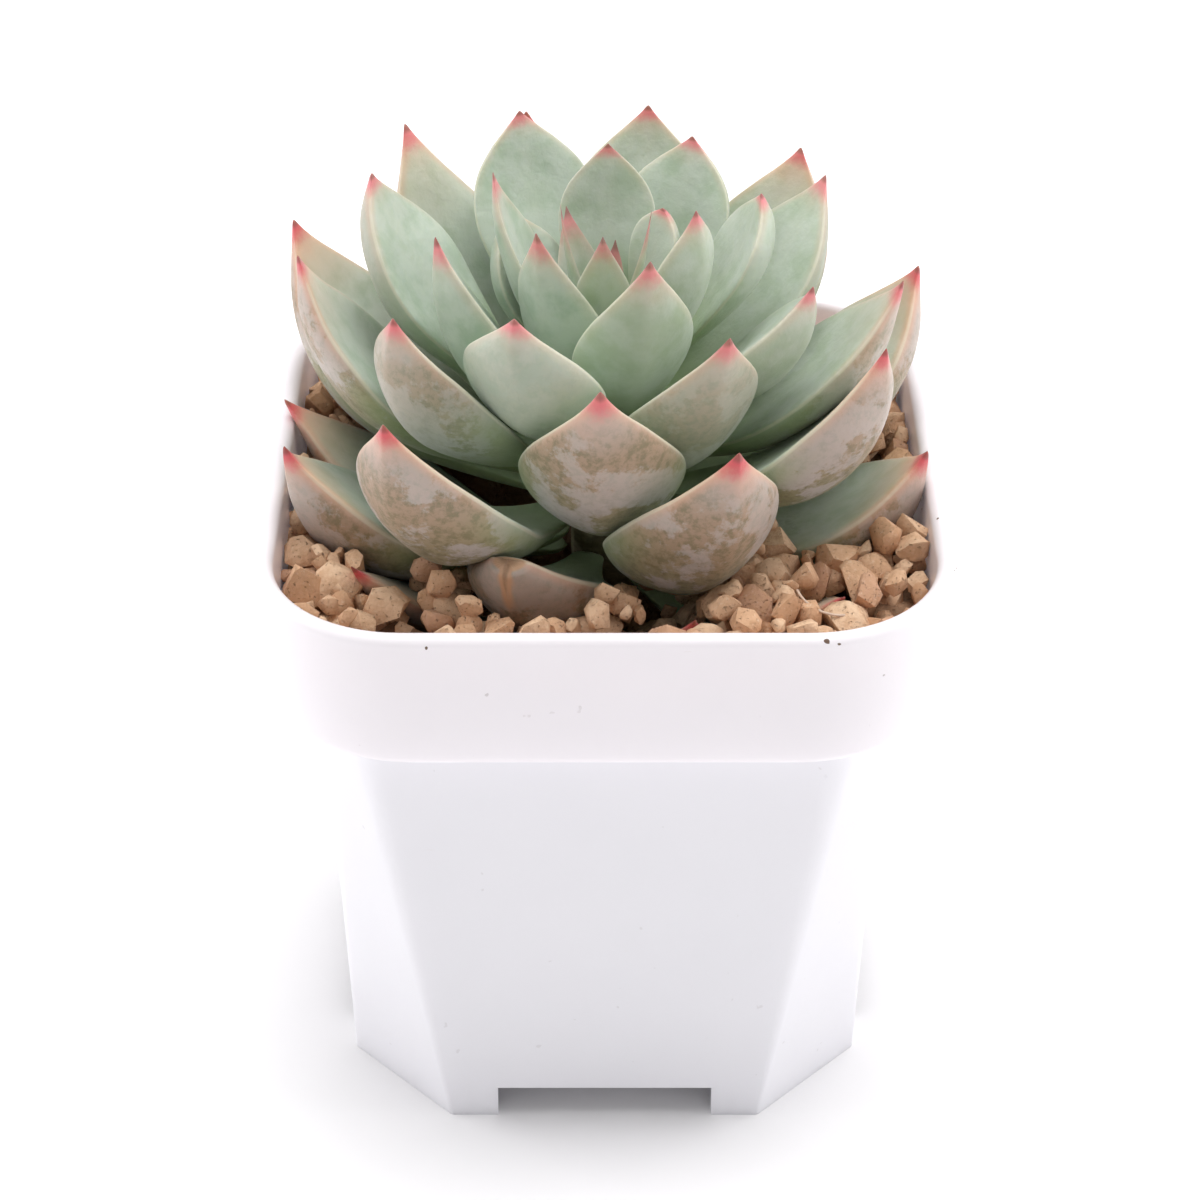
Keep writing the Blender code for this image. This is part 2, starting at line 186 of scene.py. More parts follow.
def outline(half_width, corner_cut, edge_radius):
    """A square with its corners cut off at 45 degrees, and both edges of each cut rounded."""
    reach = min(edge_radius * math.tan(math.radians(22.5)), corner_cut / math.sqrt(2))
    radius = reach / math.tan(math.radians(22.5))
    near, far = half_width - radius, half_width - corner_cut - reach
    points = []
    for quarter in range(4):
        turn = Matrix.Rotation(math.radians(90 * quarter), 2)
        for start, centre in ((0, Vector((near, far))), (45, Vector((far, near)))):
            for step in range(arc_points):
                angle = math.radians(start + 45 * step / (arc_points - 1))
                points.append(turn @ (centre + radius * Vector((math.cos(angle), math.sin(angle)))))
    return points


def body_outline(height, inset=0.0):
    """The pot's body at a height, or its inner face where inset is the wall."""
    share = height / (pot_height - band_height)
    half_width = (body_base_width + (body_top_width - body_base_width) * share) / 2
    corner_cut = facet_base + (facet_top - facet_base) * share - inset * (2 - math.sqrt(2))
    edge_radius = facet_edge_base + (facet_edge_top - facet_edge_base) * share
    return outline(half_width - inset, corner_cut, max(edge_radius - inset, facet_edge_base / 2))


def band_outline(depth, inset=0.0):
    """The rim band at a depth below the rim, or its inner face where inset is the wall."""
    half_width = rim_width / 2 - band_taper * depth / band_height - inset
    radius = rim_corner_radius - inset
    return outline(half_width, radius * (2 - math.sqrt(2)), radius)


def rounding(radius, steps=5):
    """(inwards, upwards) from the flat side to the flat top of a rounded edge."""
    angles = [math.radians(90 * step / steps) for step in range(steps + 1)]
    return [(radius * (1 - math.cos(angle)), radius * math.sin(angle)) for angle in angles]


def pot_levels():
    """(outline, height) of each ring of the pot, from the skirt's inside round to the floor's top."""
    band_bottom = pot_height - band_height
    inner_step = band_bottom - body_wall
    levels = [
        (body_outline(floor_underside, body_wall), floor_underside),
        (body_outline(0.0, body_wall), 0.0),
        (body_outline(0.0), 0.0),
        (body_outline(band_bottom), band_bottom),
    ]
    for inwards, upwards in rounding(band_edge_radius):
        height = band_bottom + band_edge_radius - upwards
        levels.insert(4, (band_outline(band_height, inwards), height))
    lip = rim_wall / 2
    for inwards, upwards in rounding(lip):
        levels.append((band_outline(0.0, inwards), pot_height - lip + upwards))
    for inwards, upwards in reversed(rounding(lip)[:-1]):
        levels.append((band_outline(0.0, rim_wall - inwards), pot_height - lip + upwards))
    levels += [
        (band_outline(band_height - body_wall, rim_wall), band_bottom + body_wall),
        (body_outline(inner_step, body_wall), inner_step + body_wall),
        (body_outline(floor_underside + floor_thickness, body_wall), floor_underside + floor_thickness),
    ]
    return levels


def cut(target, cutters):
    """Takes a bmesh's solids out of a piece."""
    mesh = bpy.data.meshes.new("cutter")
    bmesh.ops.recalc_face_normals(cutters, faces=cutters.faces)
    cutters.to_mesh(mesh)
    cutters.free()
    cutter = bpy.data.objects.new("cutter", mesh)
    bpy.context.scene.collection.objects.link(cutter)
    modifier = target.modifiers.new("cut", "BOOLEAN")
    modifier.operation = "DIFFERENCE"
    modifier.solver = "EXACT"
    modifier.object = cutter
    graph = bpy.context.evaluated_depsgraph_get()
    target.data = bpy.data.meshes.new_from_object(target.evaluated_get(graph))
    target.modifiers.clear()
    bpy.data.objects.remove(cutter, do_unlink=True)


def moulded_plastic():
    """White polypropylene with a soft gloss, faint scuffs and a few specks and stains of clay dust. The rim band
    is painted a little lighter and warmer than the body: painted light on the band, painted shade on the body
    under it.
    """
    plastic = Finish("white_plastic", IOR=1.49, Subsurface_Weight=0.25, Subsurface_Scale=0.004)
    plastic.shader.inputs["Subsurface Radius"].default_value = (1.0, 0.95, 1.0)
    cloud = plastic.noise(0.012)
    colour = plastic.mix(cloud, (0.90, 0.885, 0.935), (0.87, 0.860, 0.910))
    # Painted light and shade: the rim band is painted lighter than the body below it, which stands in for the
    # shade under the band's overhang.
    height = plastic.add("SeparateXYZ", {0: plastic.place}, output=2)
    band = plastic.ramp(height, pot_height - band_height - 0.0005, pot_height - band_height + 0.0005)
    colour = plastic.mix(band, colour, plastic.mix(cloud, (0.94, 0.890, 0.935), (0.91, 0.865, 0.910)))
    scuffs = plastic.ramp(plastic.noise(0.0016, 6.0, 0.7, plastic.stretched((0.25, 0.25, 1.6))), 0.66, 0.74)
    patches = plastic.ramp(plastic.noise(0.009, 2.0), 0.58, 0.68)
    scuffs = plastic.times(plastic.times(scuffs, patches), 0.35)
    colour = plastic.mix(scuffs, colour, (0.62, 0.50, 0.42))
    specks = plastic.ramp(plastic.noise(0.0011, 1.0, 0.4), 0.78, 0.80)
    near_rim = plastic.ramp(height, pot_height - 0.009, pot_height)
    specks = plastic.times(specks, plastic.maths("ADD", 0.12, near_rim))
    colour = plastic.mix(specks, colour, (0.16, 0.10, 0.07))
    roughness = plastic.ramp(plastic.noise(0.004, 5.0, 0.7), 0.2, 0.9)
    roughness = plastic.maths("ADD", plastic.times(roughness, 0.16), 0.27)
    bumps = plastic.height(plastic.noise(0.0008, 2.0), 0.000012)
    bumps = plastic.height(plastic.noise(0.018, 1.0), 0.00012, bumps)
    return plastic.wear(Base_Color=colour, Roughness=roughness, Normal=bumps)


def make_pot():
    levels = pot_levels()
    shape = bmesh.new()
    bmesh.ops.create_circle(shape, cap_ends=True, segments=len(levels[0][0]), radius=1.0)
    for vert, point in zip(shape.verts, levels[0][0]):
        vert.co = (*point, levels[0][1])
    edges = list(shape.edges)
    verts = list(shape.verts)
    for points, height in levels[1:]:
        grown = bmesh.ops.extrude_edge_only(shape, edges=edges)["geom"]
        edges = [item for item in grown if isinstance(item, bmesh.types.BMEdge)]
        moved = [item for item in grown if isinstance(item, bmesh.types.BMVert)]
        follow = {}
        for vert in moved:
            below = [edge.other_vert(vert) for edge in vert.link_edges if edge not in edges]
            follow[below[0]] = vert
        verts = [follow[vert] for vert in verts]
        for vert, point in zip(verts, points):
            vert.co = (*point, height)
    bmesh.ops.contextual_create(shape, geom=edges)
    bmesh.ops.recalc_face_normals(shape, faces=shape.faces)
    pot = add_piece("moulded_pot", shape, moulded_plastic())

    bars = bmesh.new()
    for turn in (0, 90):
        bar = bmesh.ops.create_cube(bars, size=1.0)["verts"]
        bmesh.ops.scale(bars, vec=(notch_width, rim_width, 2 * notch_height), verts=bar)
        bmesh.ops.rotate(bars, matrix=Matrix.Rotation(math.radians(turn), 3, "Z"), verts=bar)
        cut(pot, bars)
        bars = bmesh.new()
    for number in range(drain_hole_count + 1):
        angle = math.radians(360 * number / drain_hole_count)
        reach = drain_hole_circle if number < drain_hole_count else 0.0
        place = Vector((reach * math.cos(angle), reach * math.sin(angle), floor_underside))
        bmesh.ops.create_cone(bars, cap_ends=True, segments=24, radius1=drain_hole_radius,
                              radius2=drain_hole_radius, depth=6 * floor_thickness,
                              matrix=Matrix.Translation(place))
    cut(pot, bars)
    pot.data.shade_smooth()
    pot.data.set_sharp_from_angle(angle=math.radians(35))
    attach(pot, "root")
    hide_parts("pot")


make_pot()


# ---- Potting soil ----
# A dark, crumbly mix of peat and grit round the roots. It fills the pot below the gravel.
def potting_mix():
    soil = Finish("potting_mix", Roughness=0.95)
    crumbs = soil.add("TexVoronoi", {"Vector": soil.place, "Scale": 900.0})
    colour = soil.mix(soil.noise(0.003), (0.030, 0.018, 0.010), (0.115, 0.070, 0.040))
    grit = soil.ramp(soil.noise(0.0012, 1.0), 0.68, 0.72)
    colour = soil.mix(grit, colour, (0.42, 0.33, 0.24))
    return soil.wear(Base_Color=colour, Normal=soil.height(crumbs, 0.0006))


frame["nodes"]["potting_soil"].data.materials[0] = potting_mix()


# ---- Stem ----
# A short woody stem, hidden by the leaves, that tapers to the growing point.
stem_low, stem_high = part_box("stem")
stem_axis = (stem_low + stem_high) / 2
stem_axis.z = 0


def stem_skin():
    bark = Finish("stem_skin", Roughness=0.8)
    rings = bark.noise(0.0022, 4.0, 0.6, bark.stretched((1.0, 1.0, 3.0)))
    colour = bark.mix(rings, (0.20, 0.17, 0.09), (0.42, 0.38, 0.24))
    return bark.wear(Base_Color=colour, Normal=bark.height(rings, 0.0004))


frame["nodes"]["stem"].data.materials[0] = stem_skin()


# ---- Leaves ----
# Thick, pointed, fleshy leaves in a spiral round the stem: cupped above, keeled below, with a dry spine
# at the tip. They have a waxy bloom, rubbed off in olive patches on the outer leaves, a pale margin, and
# red tips that fade through orange. Where they crowd, each flattens against the next.
leaf_names = sorted(name for name in frame["nodes"] if name.startswith("leaf_"))
points_around = 32
rings_along = 38
tip_crowding = 1.4
upper_share = 0.22
keel_share = 0.16
cup_share = 0.34
core_share = 0.72
press_rounds = 8
press_step = 0.6
press_gap = 0.0001
press_reach = 0.0050
least_half = 0.0002
spread_rounds = 3
spread_share = 0.92
ripple_size = 0.007
ripple_depth = 0.00022

# A leaf's outline from its root to the end of its spine: share of the length, of the width and of the
# thickness.
leaf_profile = (
    (0.00, 0.20, 0.14), (0.11, 0.29, 0.33), (0.25, 0.49, 0.56), (0.40, 0.79, 0.84),
    (0.54, 0.98, 1.00), (0.66, 0.98, 0.95), (0.77, 0.82, 0.79), (0.86, 0.54, 0.56),
    (0.915, 0.32, 0.35), (0.95, 0.18, 0.21), (0.972, 0.095, 0.13), (0.988, 0.045, 0.07),
    (1.00, 0.010, 0.02),
)

# One leaf at the front has lost its spine: it ends bluntly in a dry tan scar.
blunt_leaf = "leaf_42"
blunt_end = 0.925
scar_width = 0.0008
scar_length = 0.0045


def on_profile(share, column):
    """A column of leaf_profile at a share of the length, on a smooth curve through its points."""
    rows = leaf_profile
    last = max(i for i in range(len(rows) - 1) if rows[i][0] <= share)
    around = [rows[max(0, min(len(rows) - 1, last + step))] for step in (-1, 0, 1, 2)]
    (x0, y0), (x1, y1), (x2, y2), (x3, y3) = [(row[0], row[column]) for row in around]
    part = (share - x1) / (x2 - x1)
    rise = y2 - y1
    slope_in = (y2 - y0) / (x2 - x0) * (x2 - x1) if x1 > x0 else rise
    slope_out = (y3 - y1) / (x3 - x1) * (x2 - x1) if x3 > x2 else rise
    curve = slope_in + slope_out - 2 * rise
    return y1 + part * (slope_in + part * (3 * rise - 2 * slope_in - slope_out + part * curve))


class Leaf:
    """A leaf's place, read off its solid: a curve in an upright plane from the stem to the tip."""

    def __init__(self, name, age):
        self.name = name
        self.age = age
        self.full = blunt_end if name == blunt_leaf else 1.0
        solid = bmesh.new()
        solid.from_mesh(frame["nodes"][name].data)
        bmesh.ops.remove_doubles(solid, verts=solid.verts, dist=1e-6)
        ends = sorted(solid.verts, key=lambda vert: len(vert.link_edges))[-2:]
        root, tip = sorted(ends, key=lambda vert: vert.co.z)
        self.root, self.tip = root.co.copy(), tip.co.copy()
        rings = []
        done = {root}
        front = done
        while tip not in done:
            front = {near for vert in front for line in vert.link_edges for near in line.verts} - done
            done |= front
            rings.append([vert.co.copy() for vert in front])
        solid.free()
        flat = self.root - stem_axis
        self.out = Vector((flat.x, flat.y, 0)).normalized()
        self.side = Vector((0, 0, 1)).cross(self.out)
        chord = self.tip - self.root
        self.length = chord.length
        below = self.side.cross(chord).normalized()
        centres = [sum(ring, Vector()) / len(ring) - self.root for ring in rings[:-1]]
        sag = max(centres, key=lambda centre: centre.dot(below))
        middle = self.root + chord * (sag.dot(chord) / chord.length_squared) + below * sag.dot(below)
        self.bend = 2 * middle - (self.root + self.tip) / 2
        spread = [abs((point - self.root).dot(self.side)) for ring in rings for point in ring]
        self.width = 2 * max(spread)
        self.thickness = max(self.depth(ring) for ring in rings[:-1])

    def depth(self, ring):
        """How thick the leaf is in the middle of a ring."""
        inner, outer = sorted(ring, key=lambda point: abs((point - self.root).dot(self.side)))[:2]
        return (inner - outer).length

    def spine(self, share):
        """The point on the curve, and the direction that the leaf's inner face looks in there."""
        low = self.root.lerp(self.bend, share)
        high = self.bend.lerp(self.tip, share)
        return low.lerp(high, share), (high - low).normalized().cross(self.side)


def in_order(face):
    """A face's corners from its lowest number round, so that each run names them alike."""
    numbers = [vert.index for vert in face.verts]
    start = numbers.index(min(numbers))
    return numbers[start:] + numbers[:start]


def grow(leaf):
    """A ball drawn out along the leaf's curve, cupped on its inner face and keeled on its outer one."""
    shape = bmesh.new()
    bmesh.ops.create_uvsphere(shape, u_segments=points_around, v_segments=rings_along + 1, radius=1.0)
    shape.verts.index_update()
    names = ("along", "margin", "upper", "tip", "age", "across", "tone", "scar")
    layers = [shape.verts.layers.float.new(name) for name in names]
    leaf.cores = []
    for vert in shape.verts:
        level = math.acos(max(-1.0, min(1.0, -vert.co.z))) / math.pi
        share = 1 - (1 - level) ** tip_crowding
        around = math.atan2(vert.co.y, vert.co.x)
        across, face = math.cos(around), math.sin(around)
        half_width = leaf.width / 2 * on_profile(share * leaf.full, 1)
        thickness = leaf.thickness * on_profile(share * leaf.full, 2)
        if math.hypot(vert.co.x, vert.co.y) < 1e-4:
            across, face, half_width = 0.0, 0.0, 0.0
        point, normal = leaf.spine(share)
        reach = max((point - stem_axis).dot(leaf.out), 0.001)
        cup = min(cup_share * half_width, half_width ** 2 / (2 * reach)) * across ** 2
        if face > 0:
            rise = upper_share * thickness * face
        else:
            keel = 1 + keel_share * (0.4 + 1.2 * share) * (1 - abs(across)) ** 2
            rise = (1 - upper_share) * thickness * face * keel
        leaf.cores.append(point + core_share * half_width * across * leaf.side + cup * normal)
        vert.co = point + half_width * across * leaf.side + (cup + rise) * normal
        ripple = noise.noise(vert.co / ripple_size) * ripple_depth * min(1.0, half_width / 0.002)
        vert.co += normal * ripple
        margin = math.hypot((1 - abs(across)) * half_width, rise)
        upper = 0.5 + 0.5 * max(-1.0, min(1.0, face * 5))
        tip = (1 - share * leaf.full ** 3) * leaf.length
        scar = 0.0
        if leaf.full < 1.0 and face < 0.3:
            scar = 1 - math.hypot(across * half_width / scar_width, (1 - share) * leaf.length / scar_length)
        values = (share, margin, upper, tip, leaf.age, across, leaf.age * 31 % 1.0, max(scar, 0.0))
        for layer, value in zip(layers, values):
            vert[layer] = value
    leaf.faces = sorted(in_order(face) for face in shape.faces)
    leaf.near = [sorted(line.other_vert(vert).index for line in vert.link_edges) for vert in shape.verts]
    return shape


def press(leaves):
    """Each point that lies in another leaf, or nearly, moves towards its own leaf's core."""
    for _ in range(press_rounds):
        for leaf in leaves:
            leaf.tree = BVHTree.FromPolygons([vert.co for vert in leaf.shape.verts], leaf.faces)
            leaf.places = np.array([vert.co for vert in leaf.shape.verts])
            leaf.low, leaf.high = leaf.places.min(0) - press_gap, leaf.places.max(0) + press_gap
        for leaf in leaves:
            shift = np.zeros(len(leaf.places))
            for other in leaves:
                if other is leaf or (leaf.low > other.high).any() or (other.low > leaf.high).any():
                    continue
                inside = ((leaf.places > other.low) & (leaf.places < other.high)).all(1)
                for index in np.flatnonzero(inside):
                    place = Vector(leaf.places[index])
                    spot, normal, _, distance = other.tree.find_nearest(place, press_reach)
                    if spot is None:
                        continue
                    if (place - spot).dot(normal) < 0:
                        distance = -distance
                    shift[index] = max(shift[index], press_gap - distance)
            if not shift.any():
                continue
            for _ in range(spread_rounds):
                shift = np.maximum(shift, [shift[near].mean() * spread_share for near in leaf.near])
            for vert, core, push in zip(leaf.shape.verts, leaf.cores, shift):
                inward = core - vert.co
                room = inward.length - least_half
                if push > 0 and room > 0:
                    vert.co += inward.normalized() * min(push * press_step, room)


def leaf_skin():
    """Waxy skin: sage green under a pale bloom, with a pale margin and a red tip that fades through peach.
    The old leaves are dusty lilac outside, with the bloom worn off in olive and tan patches."""
    skin = Finish("leaf_skin", Subsurface_Weight=0.15, Subsurface_Scale=0.003, Sheen_Weight=0.15,
                  Sheen_Roughness=0.5)
    skin.shader.inputs["Subsurface Radius"].default_value = (1.0, 0.9, 0.5)
    names = ("along", "margin", "upper", "tip", "age", "across", "tone", "scar")
    along, margin, upper, tip, age, across, tone, scar = [skin.own(name) for name in names]
    cloud = skin.noise(0.0060, 4.0)
    fine = skin.noise(0.0010, 6.0, 0.70)
    old = skin.ramp(age, 0.40, 0.75)
    outer = skin.times(skin.inverse(upper), skin.ramp(age, 0.34, 0.60))

    green = skin.mix(skin.ramp(cloud, 0.3, 0.7), (0.370, 0.480, 0.365), (0.450, 0.550, 0.440))
    green = skin.mix(skin.times(tone, 0.5), green, (0.490, 0.550, 0.380))
    bloom = skin.times(skin.ramp(skin.noise(0.0035, 5.0, 0.6), 0.34, 0.62), skin.ramp(along, 0.15, 0.55))
    green = skin.mix(skin.times(bloom, 0.7), green, (0.580, 0.640, 0.560))
    # Painted highlight: a pale stripe along the middle of each face, where the keel catches the light.
    keel_highlight = skin.inverse(skin.ramp(skin.maths("ABSOLUTE", across), 0.02, 0.30))
    green = skin.mix(skin.times(keel_highlight, 0.25), green, (0.590, 0.640, 0.540))
    foot = skin.inverse(skin.ramp(along, 0.20, 0.55))
    green = skin.mix(skin.times(foot, 0.65), green, (0.330, 0.450, 0.210))

    waxed = skin.mix(skin.ramp(along, 0.50, 0.85), (0.520, 0.520, 0.510), (0.500, 0.410, 0.355))
    waxed = skin.mix(skin.times(skin.ramp(fine, 0.45, 0.65), 0.5), waxed, (0.350, 0.330, 0.270))
    bare = skin.mix(skin.ramp(along, 0.50, 0.82), (0.280, 0.300, 0.140), (0.400, 0.270, 0.175))
    flecks = skin.ramp(fine, 0.42, 0.62)
    bare = skin.mix(skin.times(flecks, 0.65), bare, (0.140, 0.135, 0.050))
    worn = skin.ramp(skin.noise(0.0070, 7.0, 0.68), 0.465, 0.535)
    worn = skin.times(worn, skin.ramp(along, 0.32, 0.50))
    worn = skin.times(worn, skin.inverse(skin.ramp(along, 0.84, 0.95)))
    outside = skin.mix(skin.times(worn, 0.9), waxed, bare)
    fresh = skin.inverse(skin.ramp(along, 0.30, 0.58))
    outside = skin.mix(skin.times(fresh, 0.85), outside, (0.260, 0.345, 0.135))
    sides = skin.times(skin.inverse(skin.ramp(margin, 0.0008, 0.0042)), skin.inverse(skin.ramp(along, 0.55, 0.80)))
    outside = skin.mix(skin.times(sides, 0.75), outside, (0.310, 0.390, 0.200))
    colour = skin.mix(outer, green, outside)

    blush = skin.times(skin.inverse(skin.ramp(margin, 0.0001, 0.0013)), skin.ramp(along, 0.60, 0.92))
    blush = skin.times(blush, skin.maths("ADD", skin.times(old, 0.40), 0.25))
    colour = skin.mix(blush, colour, (0.700, 0.400, 0.280))
    line = skin.inverse(skin.ramp(margin, 0.00005, 0.00030))
    line = skin.times(line, skin.ramp(along, 0.15, 0.45))
    colour = skin.mix(skin.times(line, 0.5), colour, (0.720, 0.700, 0.560))
    reach = skin.maths("ADD", tip, skin.times(cloud, 0.0040))
    faded = skin.times(skin.times(skin.inverse(skin.ramp(reach, 0.0030, 0.0130)), old), upper)
    colour = skin.mix(skin.times(faded, 0.75), colour, (0.700, 0.480, 0.320))
    peach = skin.inverse(skin.ramp(reach, 0.0026, 0.0065))
    peach = skin.times(peach, skin.maths("ADD", skin.times(old, 0.40), 0.30))
    colour = skin.mix(peach, colour, (0.740, 0.400, 0.290))
    red = skin.inverse(skin.ramp(skin.maths("ADD", tip, skin.times(fine, 0.0012)), 0.0014, 0.0032))
    colour = skin.mix(skin.times(red, 0.9), colour, skin.mix(old, (0.740, 0.200, 0.230), (0.640, 0.060, 0.090)))
    dry = skin.inverse(skin.ramp(tip, 0.0004, 0.0009))
    colour = skin.mix(skin.times(dry, 0.7), colour, (0.180, 0.050, 0.040))
    colour = skin.mix(skin.ramp(scar, 0.0, 0.35), colour, (0.640, 0.400, 0.250))
    colour = skin.mix(skin.times(skin.ramp(scar, 0.45, 0.85), fine), colour, (0.200, 0.100, 0.050))

    roughness = skin.maths("ADD", skin.times(fine, 0.24), 0.36)
    bumps = skin.height(skin.noise(0.0008, 6.0, 0.75), 0.00006)
    bumps = skin.height(cloud, 0.0004, bumps)
    bumps = skin.height(skin.inverse(scar), 0.0004, bumps)
    return skin.wear(Base_Color=colour, Roughness=roughness, Normal=bumps)


def make_leaves():
    finish = leaf_skin()
    leaves = []
    for name in leaf_names:
        number = int(name.split("_")[1])
        leaves.append(Leaf(name, number / last_leaf))
    for leaf in leaves:
        leaf.shape = grow(leaf)
    press(leaves)
    for leaf in leaves:
        leaf.corners = [vert.co.copy() for vert in leaf.shape.verts]
        number = leaf.name.split("_")[1]
        piece = add_piece(f"fleshy_leaf_{number}", leaf.shape, finish, sharp=180)
        smooth = piece.modifiers.new("fine", "SUBSURF")
        smooth.levels = 1
        smooth.render_levels = 1
        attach(piece, "root")
        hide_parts(leaf.name)
    return leaves


last_leaf = 50
leaves = make_leaves()


# ---- Gravel ----
# Broken grains of baked clay, 1.5 to 5 mm across, dry and pitted, tan to reddish brown. They lie loose in
# the pot's mouth, deepest against the wall, round the leaves and half over the lowest ones.
gravel_low, gravel_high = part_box("gravel")
gravel_top = gravel_high.z
grain_points = 16
packing = 0.84
settle_rounds = 26
leaf_clearance = 0.0001
bed_drop = 0.0026

# Each layer's number of grains, its height against the bed's top, and its least and most grain radius.
grain_layers = (
    (330, -0.0036, 0.0013, 0.0020),
    (360, -0.0012, 0.0010, 0.0027),
    (180, 0.0006, 0.0008, 0.0021),
)

# Leaves that lie half under the gravel, with how much of each shows, measured back from its tip.
half_buried = {"leaf_45": 0.0065, "leaf_47": 0.0110, "leaf_50": 0.0125}
buried_tries = 260
open_front = 0.0022


def leaf_cover(leaves):
    """All the leaves as one surface, to lay grains against."""
    corners, faces = [], []
    for leaf in leaves:
        faces += [[len(corners) + number for number in face] for face in leaf.faces]
        corners += leaf.corners
    return BVHTree.FromPolygons(corners, faces)


def wall_push(place, radius):
    """How far a grain at this place must move to clear the pot's wall, as a vector."""
    half = rim_width / 2 - rim_wall - band_taper * 0.3 - radius
    corner = max(rim_corner_radius - rim_wall - radius, 0.001)
    straight = half - corner
    over = Vector((max(abs(place.x) - straight, 0.0), max(abs(place.y) - straight, 0.0)))
    if over.length <= corner:
        return Vector((0, 0, 0))
    over *= (over.length - corner) / over.length
    return Vector((-math.copysign(over.x, place.x), -math.copysign(over.y, place.y), 0))


def lay_grains(cover, draw):
    """(place, radius) of each grain: scattered by layers, then pushed apart, off the wall and the leaves."""
    places, radii, levels = [], [], []
    for count, level, least, most in grain_layers:
        for _ in range(count):
            radius = least + (most - least) * draw.random() ** 1.3
            spot = [gravel_low[axis] + (gravel_high[axis] - gravel_low[axis]) * draw.random() for axis in (0, 1)]
            places.append((*spot, gravel_top + level))
            radii.append(radius)
            levels.append(gravel_top + level)
    places, radii, levels = np.array(places), np.array(radii), np.array(levels)
    for _ in range(settle_rounds):
        gaps = places[:, None, :] - places[None, :, :]
        reach = np.linalg.norm(gaps, axis=2)
        np.fill_diagonal(reach, 1.0)
        lap = np.maximum((radii[:, None] + radii[None, :]) * packing - reach, 0.0)
        places += 0.25 * (gaps / reach[:, :, None] * lap[:, :, None]).sum(1)
        places[:, 2] += 0.25 * (levels - places[:, 2])
        for number, radius in enumerate(radii):
            place = Vector(places[number])
            spot, normal, _, distance = cover.find_nearest(place, 0.012)
            if spot is not None:
                if (place - spot).dot(normal) < 0:
                    distance = -distance
                lack = radius * 0.8 + leaf_clearance - distance
                if lack > 0:
                    away = Vector((normal.x, normal.y, min(normal.z, 0.0)))
                    place += away.normalized() * min(lack, 0.0012)
            place += wall_push(place, radius * 0.8)
            places[number] = place
    return places, radii


def bury(leaves, cover, draw):
    """(place, radius) of the grains that lie on the half-buried leaves."""
    laid = []
    for leaf in leaves:
        if leaf.name not in half_buried:
            continue
        tree = BVHTree.FromPolygons(leaf.corners, leaf.faces)
        for _ in range(buried_tries):
            radius = 0.0010 + 0.0010 * draw.random()
            share, across = draw.random(), draw.random() - 0.5
            start = leaf.root.lerp(leaf.tip, share) + leaf.side * across * leaf.width
            spot, normal, _, _ = tree.ray_cast(start + Vector((0, 0, 0.05)), Vector((0, 0, -1)))
            if spot is None or (spot - leaf.tip).length < half_buried[leaf.name]:
                continue
            place = spot + normal * radius * 0.7
            place += wall_push(place, radius)
            clear = all((place - other).length > 0.8 * (radius + size) for other, size in laid)
            nearest, facing, _, _ = cover.find_nearest(place)
            if clear and (place - nearest).dot(facing) > 0:
                laid.append((place, radius))
    return laid


def make_gravel(leaves):
    draw = np.random.default_rng(7)
    cover = leaf_cover(leaves)
    grains = []
    risen = leaf_cover([leaf for leaf in leaves if leaf.name not in half_buried])
    buried = [(leaf, leaf_cover([leaf])) for leaf in leaves if leaf.name in half_buried]
    front = leaf_cover([leaf for leaf in leaves if leaf.name == blunt_leaf])
    down = Vector((0, 0, -1))
    for place, radius in zip(*lay_grains(cover, draw)):
        place = Vector(place)
        on_leaf = risen.ray_cast(place, down)[0] is not None
        on_tip = False
        for leaf, tree in buried:
            spot = tree.ray_cast(place, down)[0]
            on_tip |= spot is not None and (spot - leaf.tip).length < half_buried[leaf.name]
        at_front = place.z > gravel_top - 0.002 and front.find_nearest(place, open_front)[0] is not None
        if not (on_leaf or on_tip or at_front):
            grains.append((place, radius))
    grains += bury(leaves, cover, draw)
    shape = bmesh.new()
    tint = shape.verts.layers.float.new("tint")
    for place, radius in grains:
        stretch = 1.2 - 0.5 * draw.random(3) ** 2
        ways = draw.normal(size=(grain_points, 3))
        ways /= np.linalg.norm(ways, axis=1)[:, None]
        corners = [shape.verts.new(place + Vector(way * stretch) * radius) for way in ways]
        hull = bmesh.ops.convex_hull(shape, input=corners)
        spare = [vert for vert in corners if vert.is_valid and not vert.link_faces]
        bmesh.ops.delete(shape, geom=spare, context="VERTS")
        kept = [vert for vert in corners if vert.is_valid]
        bmesh.ops.smooth_vert(shape, verts=kept, factor=0.2, use_axis_x=True, use_axis_y=True, use_axis_z=True)
        shade = draw.random()
        for vert in kept:
            vert[tint] = shade
    bmesh.ops.recalc_face_normals(shape, faces=shape.faces)
    grains = add_piece("clay_grains", shape, baked_clay(), sharp=50)
    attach(grains, "root")
    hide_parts("gravel")

    bed = bmesh.new()
    bed.from_mesh(frame["nodes"]["gravel"].data)
    bmesh.ops.remove_doubles(bed, verts=bed.verts, dist=1e-6)
    ledge = gravel_top - 0.0060
    for vert in bed.verts:
        if vert.co.z > ledge:
            vert.co.z = max(vert.co.z - bed_drop, ledge)
    # The bed under the grains is painted darker, as painted shade in the gaps between the grains.
    bed = add_piece("clay_bed", bed, baked_clay(painted_shade=0.5), sharp=60)
    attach(bed, "root")
    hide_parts("gravel")


